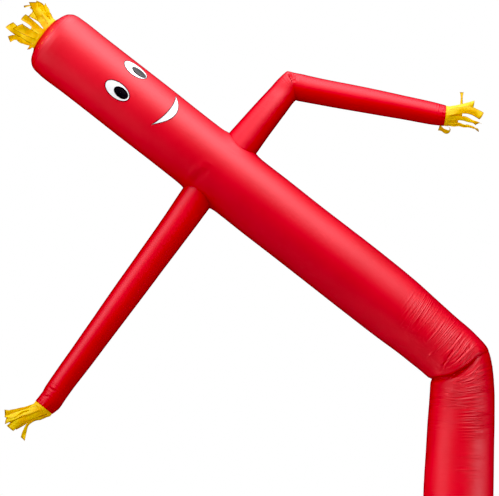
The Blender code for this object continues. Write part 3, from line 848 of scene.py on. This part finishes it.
def root_share(low, high):
    """How far from one ring to the next each side line of the sleeve leaves the torso's round."""
    start, way = low - HEAD_END, high - low
    start = start - (start @ TORSO_DOWN)[:, None] * TORSO_DOWN
    way = way - (way @ TORSO_DOWN)[:, None] * TORSO_DOWN
    a = (way * way).sum(axis=1)
    b = 2 * (start * way).sum(axis=1)
    c = (start * start).sum(axis=1) - TUBE_RADIUS ** 2
    return (-b + np.sqrt(b * b - 4 * a * c)) / (2 * a)


def sleeve_grid(rows, sides):
    """The sleeve from its seam on the torso to the cuff."""
    passed = run_along(np.array(rows)[:, :3])
    low, high = sleeve_rings(rows, passed, sides)[:2]
    root = low + (high - low) * root_share(low, high)[:, None]
    first = [root + (high - root) * k / ROOT_RINGS for k in range(ROOT_RINGS)]
    at = np.append(np.arange(passed[1], passed[-1], SLEEVE_STEP), passed[-1])
    return np.concatenate((np.array(first), sleeve_rings(rows, at, sides)))


def make_sleeve(name, node, rows, settings):
    """A tapering sleeve of cloth with its folds, a gathered cuff and a turned hem."""
    grid = sleeve_grid(rows, settings.sleeve_sides)
    height = fold_height(as_seen(grid), SLEEVE_FOLDS) * settings.fold_scale
    height += uneven(grid, size=0.20, seed=7.7) * settings.unevenness * 0.7
    ring = np.arange(len(grid))[:, None]
    root_fade = np.clip(ring / ROOT_FADE, 0.0, 1.0)
    cuff_fade = bell(len(grid) - 1 - ring, CUFF_FADE)
    gather = gathers(settings.sleeve_sides, height=0.0012, count=15, drift=0.8, waves=2)
    height = height * root_fade * (1 - cuff_fade) + gather * cuff_fade
    grid = grid + grid_normals(grid) * height[..., None]
    normals = grid_normals(grid)
    full = np.concatenate((grid, turned_hem(grid, normals, len(grid) - 1, CUFF_HEM)))
    cloth = tube_mesh(name, full, [materials()["red_sleeve_nylon"]], seam=True,
                      pleats=pleat_amount(as_seen(full), SLEEVE_PLEATS, everywhere=0.05))
    declare(cloth, "red_nylon", node)
    long = float(run_along(full)[-1])
    return grid, normals


STRIP_STEPS = 28           # rows of points along a strip
STRIP_SPREAD = np.array((-1.0, -0.84, -0.42, 0.0, 0.42, 0.84, 1.0))
CURL = 0.0070              # how far a strip cups across its width
FLUTTER = 0.0060           # how far its edges wave along its length
CRUMPLE = 0.0140           # how far it crumples
CRUMPLE_SIZE = 0.055       # and how far apart the crumples lie
# Band round the vent, from its sewn edge inside to its free edge: height, and how far inside the rim it lies
BAND = ((-0.008, 0.0065), (-0.002, 0.0035), (0.004, 0.001), (0.013, 0.001), (BAND_HEIGHT, 0.001))


def fringe_cloth(name, node, centre, out, across, radii, strips, seed):
    """A band of cloth round a vent, cut into strips that fly free, cup and flutter at their edges."""
    rng = random.Random(seed)
    beside = np.cross(out, across)
    half_width, half_depth = radii
    points, faces, uvs, kinds = [], [], [], []

    def rim_point(turn, height=BAND_HEIGHT, inset=0.001):
        return (centre + across * math.cos(turn) * (half_width - inset)
                + beside * math.sin(turn) * (half_depth - inset) + out * height)

    def patch(grid, shaded_edges=False):
        """Add a sheet given as rows of points, with or without painted shade along its cut edges."""
        last_row, last_column = grid.shape[0] - 2, grid.shape[1] - 2
        for r, c, face, uv in cloth_faces(grid, first=len(points)):
            faces.append(face)
            uvs.append(uv)
            # A strip's tip and long edges take the darker edge cloth, painted shade along its outline
            kinds.append(int(shaded_edges and r > 0 and (r == last_row or c in (0, last_column))))
        points.extend(grid.reshape(-1, 3))

    turns = np.linspace(0, 2 * math.pi, len(strips) * 10 + 1)
    patch(np.array([[rim_point(turn, height, inset) for turn in turns] for height, inset in BAND]))
    area = math.pi * (half_width + half_depth) * BAND_HEIGHT
    for k, strip in enumerate(strips):
        start = 2 * math.pi * (k - strip.width / 2) / len(strips)
        end = start + 2 * math.pi * strip.width / len(strips)
        corners = [Vector(rim_point(turn)) for turn in (start, end)]
        place = (corners[0] + corners[1]) / 2
        width_way = (corners[1] - corners[0]).normalized()
        half = (corners[1] - corners[0]).length / 2
        facing_before = Vector(out)
        curl = CURL * rng.choice((-1, 1)) * rng.uniform(0.5, 1.2)
        phase, waves = rng.uniform(0, 6.28), rng.uniform(1.0, 1.8)
        slant = rng.uniform(-0.9, 0.9) * half
        rows = [[rim_point(start + (end - start) * (c + 1) / 2) for c in STRIP_SPREAD]]
        for step in range(1, STRIP_STEPS + 1):
            share = step / STRIP_STEPS
            middle = (step - 0.5) / STRIP_STEPS
            bent = eased(min(1.0, max(0.0, (middle - strip.bend_at) / strip.bend_over + 0.5)))
            heading = math.radians(strip.start + (strip.end - strip.start) * bent)
            stride = Vector(out) * math.cos(heading) + Vector(across) * math.sin(heading)
            stride *= strip.length / STRIP_STEPS
            stride += Vector(beside) * strip.drift * (share ** 2 - (share - 1 / STRIP_STEPS) ** 2)
            place = place + stride
            facing = stride.normalized()
            width_way = facing_before.rotation_difference(facing) @ width_way
            width_way = Matrix.Rotation(math.radians(strip.twist / STRIP_STEPS), 3, facing) @ width_way
            facing_before = facing
            thick = width_way.cross(facing).normalized()
            wide = half * (1 + strip.flare * share)
            row = []
            for c in STRIP_SPREAD:
                spot = place + width_way * wide * c
                cup = curl * share * (1 - 2 * c * c)
                wave = FLUTTER * c * math.sin(phase + 2 * math.pi * waves * share) * share
                creased = noise.noise(spot / CRUMPLE_SIZE + Vector((seed, k, 0)))
                crumple = CRUMPLE * creased * min(1.0, 3 * share)
                cut = facing * slant * c * max(0.0, share - 0.75) * 4
                row.append(np.array(spot + thick * (cup + wave + crumple) + cut))
            rows.append(row)
        patch(np.array(rows), shaded_edges=True)
        area += strip.length * half * 2
    cloth = finish_mesh(name, points, faces, uvs,
                        [materials()["yellow_ripstop_nylon"], materials()["hot_cut_edge"]], kinds)
    declare(cloth, "yellow_nylon", node)
    # 10 mm of the band are sewn into the cuff or the vent
    longest = max(strip.length for strip in strips) + BAND_HEIGHT + 0.01


def make_fringes():
    """Hair round the head vent and a fringe at each cuff."""
    vent = HEAD_END + TORSO_DOWN * CAP[-1].along
    hair_radius = (CAP[-1].radius + CAP[-2].radius + 0.002) / 2
    fringe_cloth("hair_cloth", "hair_fringe", vent, -TORSO_DOWN, TORSO_OUTER, (hair_radius, hair_radius),
                 HAIR_STRIPS, 11)
    for name, node, rows, strips, seed in (
            ("left_hand_cloth", "left_hand_fringe", LEFT_SLEEVE, LEFT_HAND_STRIPS, 23),
            ("right_hand_cloth", "right_hand_fringe", RIGHT_SLEEVE, RIGHT_HAND_STRIPS, 37)):
        found, facing, across, _ = sleeve_frames(rows)
        fringe_cloth(name, node, found[-1, :3], facing[-1], across[-1],
                     (rows[-1].half_width, rows[-1].half_depth), strips, seed)


PATCH_LIFT = 0.0008        # how far a patch lies above the torso's round
PUPIL_LIFT = 0.0024        # a pupil lies on its eye's white
PATCH_EDGE = 0.0045        # width of the sewn edge round each patch
FIELD_LIFT = 0.0008        # how far a patch's field swells above that
OVAL_SIDES = 72
OVAL_RINGS = 8             # rings inside an oval's sewn edge
SMILE_COLUMNS = 65
# The sewn edge, from the field outward: how far in from the outline as a share of its width, and its height
EDGE_PROFILE = ((1.0, 0.0006), (0.75, 0.0017), (0.3, 0.0017), (0.0, -0.0002))


def patch_points(centre_along, centre_azimuth, outline, lift):
    """Places given along the torso and across it, seen square on, wrapped onto its round."""
    across = np.arcsin(np.clip(outline[..., 1:] / TUBE_RADIUS, -0.98, 0.98))
    azimuth = math.radians(centre_azimuth) + across
    outward = TORSO_OUTER * np.sin(azimuth) - BACKWARD * np.cos(azimuth)
    return HEAD_END + TORSO_DOWN * (centre_along + outline[..., :1]) + outward * (TUBE_RADIUS + lift)


def oval_cloth(node, oval, lift, cloth, slot):
    """An oval patch: a flat field of cloth inside a raised, overlocked edge."""
    turn = ring_angles(OVAL_SIDES)
    size = min(oval.half_length, oval.half_width)
    edge = PATCH_EDGE / size
    steps = [(share, FIELD_LIFT) for share in np.linspace(0.004, 1 - edge, OVAL_RINGS + 1)[:-1]]
    steps += [(1 - edge * into, rise) for into, rise in EDGE_PROFILE]
    grid = []
    for share, rise in steps:
        # The outer rings keep an even distance from the outline, the inner ones its proportions
        if share > 0.5:
            length, width = (half - (1 - share) * size for half in (oval.half_length, oval.half_width))
        else:
            length, width = oval.half_length * share, oval.half_width * share
        outline = np.stack((length * np.cos(turn), width * np.sin(turn)), axis=1)
        grid.append(patch_points(oval.along, oval.azimuth, outline, lift + rise))
    shared = materials()
    piece = tube_mesh(node + "_cloth", np.array(grid), [shared[cloth], shared["dark_polyester_thread"]],
                      row_material=lambda row: int(row >= OVAL_RINGS))
    declare(piece, slot, node)


def smile_cloth():
    """The crescent smile, from one tip to the other."""
    across = SMILE_HALF_SPAN * np.sin(np.linspace(-math.pi / 2, math.pi / 2, SMILE_COLUMNS))
    bow = 1 - (across / SMILE_HALF_SPAN) ** 2
    low, high = SMILE_INNER_SAG * bow, SMILE_OUTER_SAG * bow
    edge = np.minimum(PATCH_EDGE, (high - low) * 0.35)
    steps = [(low + edge * into, rise) for into, rise in reversed(EDGE_PROFILE)]
    field = high - low - 2 * edge
    steps += [(low + edge + field * share, FIELD_LIFT) for share in np.linspace(0, 1, 7)[1:-1]]
    steps += [(high - edge * into, rise) for into, rise in EDGE_PROFILE]
    grid = np.array([patch_points(SMILE_TIP_ALONG, SMILE_AZIMUTH, np.stack((step, across), axis=1),
                                  PATCH_LIFT + rise) for step, rise in steps])
    last = len(steps) - 2
    shared = materials()
    piece = tube_mesh("smile_cloth", grid, [shared["white_patch_nylon"], shared["dark_polyester_thread"]],
                      closed=False, row_material=lambda row: int(row < 3 or row > last - 3))
    declare(piece, "white_nylon", "smile")


def make_face():
    """Two oval eyes with pupils and a crescent smile."""
    for node, oval in EYE_WHITES.items():
        oval_cloth(node, oval, PATCH_LIFT, "white_patch_nylon", "white_nylon")
    for node, oval in PUPILS.items():
        oval_cloth(node, oval, PUPIL_LIFT, "black_patch_nylon", "black_nylon")
    smile_cloth()


FLOOR_GAP = 0.001          # the floor lies this far under the mouth's edge
WORLD_GREY = 0.165         # even light from all round
BLACK_LEVEL = 0.031        # deepens the dark end of the picture, as the photo's does


def place_light(name, place, aim, power, size, reflected=True, spread=180):
    """Add a round softbox that points at a place, its light held to a spread in degrees."""
    light = bpy.data.lights.new(name, "AREA")
    light.energy = power
    light.shape = "DISK"
    light.size = size
    light.spread = math.radians(spread)
    obj = bpy.data.objects.new(name, light)
    obj.location = place
    obj.rotation_euler = (Vector(aim) - Vector(place)).to_track_quat("-Z", "Y").to_euler()
    obj.visible_glossy = reflected
    obj.visible_camera = False
    bpy.context.scene.collection.objects.link(obj)


def studio_world():
    """White behind the figure and a weak, even light everywhere else."""
    world = bpy.data.worlds.new("studio")
    world.use_nodes = True
    tree = world.node_tree
    tree.nodes.clear()
    rays = add_node(tree, "ShaderNodeLightPath")
    seen = add_node(tree, "ShaderNodeMix", {
        "Factor": rays.outputs["Is Camera Ray"], "A": (WORLD_GREY,) * 3 + (1.0,), "B": (1.0, 1.0, 1.0, 1.0)},
        data_type="RGBA")
    light = add_node(tree, "ShaderNodeBackground", {"Color": seen.outputs["Result"], "Strength": 1.0})
    output = add_node(tree, "ShaderNodeOutputWorld")
    tree.links.new(light.outputs[0], output.inputs["Surface"])
    bpy.context.scene.world = world


def pale_floor():
    """Painted studio floor: matt and nearly white, with a faint mottle."""
    material, tree, output = new_material("matt_floor_paint")
    place = add_node(tree, "ShaderNodeTexCoord")
    mottle = add_node(tree, "ShaderNodeTexNoise", {
        "Vector": place.outputs["Object"], "Scale": 3.0, "Detail": 4.0})
    shade = add_node(tree, "ShaderNodeMix", {
        "Factor": mottle.outputs["Fac"], "A": linear("#E9E9E6"), "B": linear("#F2F2F0")}, data_type="RGBA")
    shader = add_node(tree, "ShaderNodeBsdfPrincipled", {
        "Base Color": shade.outputs["Result"], "Roughness": 0.85})
    tree.links.new(shader.outputs[0], output.inputs["Surface"])
    radius, sides, thickness = 7.0, 96, 0.02
    centre = [(low + high) / 2 for low, high in zip(*CAD_BOX)]
    mesh = bpy.data.meshes.new("floor")
    points = [(centre[0] + radius * math.cos(t), centre[1] + radius * math.sin(t), z)
              for z in (-thickness - FLOOR_GAP, -FLOOR_GAP) for t in ring_angles(sides)]
    faces = [tuple(range(sides, 2 * sides)), tuple(reversed(range(sides)))]
    faces += [(i, (i + 1) % sides, sides + (i + 1) % sides, sides + i) for i in range(sides)]
    mesh.from_pydata(points, [], faces)
    mesh.materials.append(material)
    floor = bpy.data.objects.new("floor", mesh)
    bpy.context.scene.collection.objects.link(floor)
    floor.visible_glossy = False


def make_stage():
    """Camera, lights, world and floor."""
    camera = bpy.data.cameras.new("camera")
    camera.sensor_width = SENSOR_MM
    camera.lens = SENSOR_MM * -CAMERA[1] / PLANE_WIDTH
    camera.clip_end = 200.0
    obj = bpy.data.objects.new("camera", camera)
    obj.location = CAMERA
    obj.rotation_euler = (math.radians(90), 0.0, 0.0)
    bpy.context.scene.collection.objects.link(obj)
    bpy.context.scene.camera = obj
    middle = (-1.4, 0.0, 3.6)
    place_light("overhead_right", (0.9, -2.3, 8.4), middle, 310, 4.5)
    place_light("overhead_back", (-1.4, 0.8, 10.0), middle, 310, 5.0)
    place_light("upper_left", (-7.5, -4.5, 9.0), middle, 500, 4.5)
    place_light("right_low", (2.6, -1.5, 1.7), (0.0, 0.0, 2.0), 4.0, 1.6, spread=50)
    place_light("right_fill", (2.2, -3.0, 4.0), (-0.9, 0.0, 3.9), 1.3, 1.2, reflected=False, spread=40)
    place_light("left_fill", (-5.6, -1.6, 3.2), (-2.4, 0.0, 4.4), 30, 2.5, reflected=False)
    place_light("head_fill", (-5.6, -1.6, 3.2), (-2.4, 0.0, 4.5), 1.4, 1.6, reflected=False, spread=40)
    place_light("leg_left", (-5.0, -2.5, 1.5), (0.0, 0.0, 1.85), 3.1, 1.0, reflected=False, spread=28)
    place_light("back_fill", (-1.4, 8.0, 5.0), middle, 140, 5.0, reflected=False)
    studio_world()
    view = bpy.context.scene.view_settings
    view.view_transform = "Standard"
    view.use_curve_mapping = True
    view.curve_mapping.black_level = (BLACK_LEVEL,) * 3
    view.curve_mapping.update()
    pale_floor()


def make_stitching(settings, body, sleeves):
    """Rows of sewn thread at the hems, the cap's seam, the sleeves' roots and the lengthwise seams."""
    places = [(body, ring, True) for ring in (1, 4, -6)]
    places += [(sleeve, ring, True) for sleeve in sleeves for ring in (1, -4)]
    places += [(tube, np.s_[:, column], False) for tube in (body, *sleeves) for column in (1, -1)]
    rows = []
    for (grid, normals), place, closed in places:
        outward = normals[place]
        pitch = settings.stitch_length * (1.5 if closed else 2.25)
        rows.append((grid[place] + outward * STITCH_LIFT, outward, closed, pitch))
    piece = stitch_rows("seam_stitches", rows, settings.stitch_length, materials()["red_polyester_thread"])
    declare(piece, "red_nylon")


class AIRDANCER_OT_tube(Operator):
    """Sew the leg and torso, the head cap and both sleeves"""
    bl_idname = "airdancer.tube"
    bl_label = "Tube, cap and sleeves"

    def execute(self, context):
        settings = context.scene.air_dancer
        body = make_body_cloth(settings)
        make_head_cap(settings)
        left = make_sleeve("left_sleeve_cloth", "arm_left", LEFT_SLEEVE, settings)
        right = make_sleeve("right_sleeve_cloth", "arm_right", RIGHT_SLEEVE, settings)
        make_stitching(settings, body, (left, right))
        return {"FINISHED"}


class AIRDANCER_OT_fringes(Operator):
    """Cut and sew the hair and the fringed hands"""
    bl_idname = "airdancer.fringes"
    bl_label = "Hair and hands"

    def execute(self, context):
        make_fringes()
        return {"FINISHED"}


class AIRDANCER_OT_face(Operator):
    """Sew the eyes and the smile to the torso"""
    bl_idname = "airdancer.face"
    bl_label = "Face patches"

    def execute(self, context):
        make_face()
        return {"FINISHED"}


class AIRDANCER_OT_stage(Operator):
    """Set the camera, the soft studio light and the pale floor"""
    bl_idname = "airdancer.stage"
    bl_label = "Studio"

    def execute(self, context):
        make_stage()
        return {"FINISHED"}


class AIRDANCER_PT_panel(Panel):
    """Buttons for each group of pieces"""
    bl_idname = "AIRDANCER_PT_panel"
    bl_label = "Air Dancer"
    bl_space_type = "VIEW_3D"
    bl_region_type = "UI"
    bl_category = "Air Dancer"

    def draw(self, context):
        settings = context.scene.air_dancer
        for name in AirDancerSettings.__annotations__:
            self.layout.prop(settings, name)
        for operator in OPERATORS:
            self.layout.operator(operator.bl_idname)


OPERATORS = (AIRDANCER_OT_stage, AIRDANCER_OT_tube, AIRDANCER_OT_fringes, AIRDANCER_OT_face)
CLASSES = (AirDancerSettings,) + OPERATORS + (AIRDANCER_PT_panel,)


def register():
    """Register the add-on's classes and settings."""
    for kind in CLASSES:
        bpy.utils.register_class(kind)
    bpy.types.Scene.air_dancer = PointerProperty(type=AirDancerSettings)


def unregister():
    """Take the add-on's classes and settings away again."""
    del bpy.types.Scene.air_dancer
    for kind in reversed(CLASSES):
        bpy.utils.unregister_class(kind)


def main():
    """Make every piece in order."""
    register()
    bpy.ops.airdancer.stage()
    bpy.ops.airdancer.tube()
    bpy.ops.airdancer.fringes()
    bpy.ops.airdancer.face()


if __name__ == "__main__":
    main()
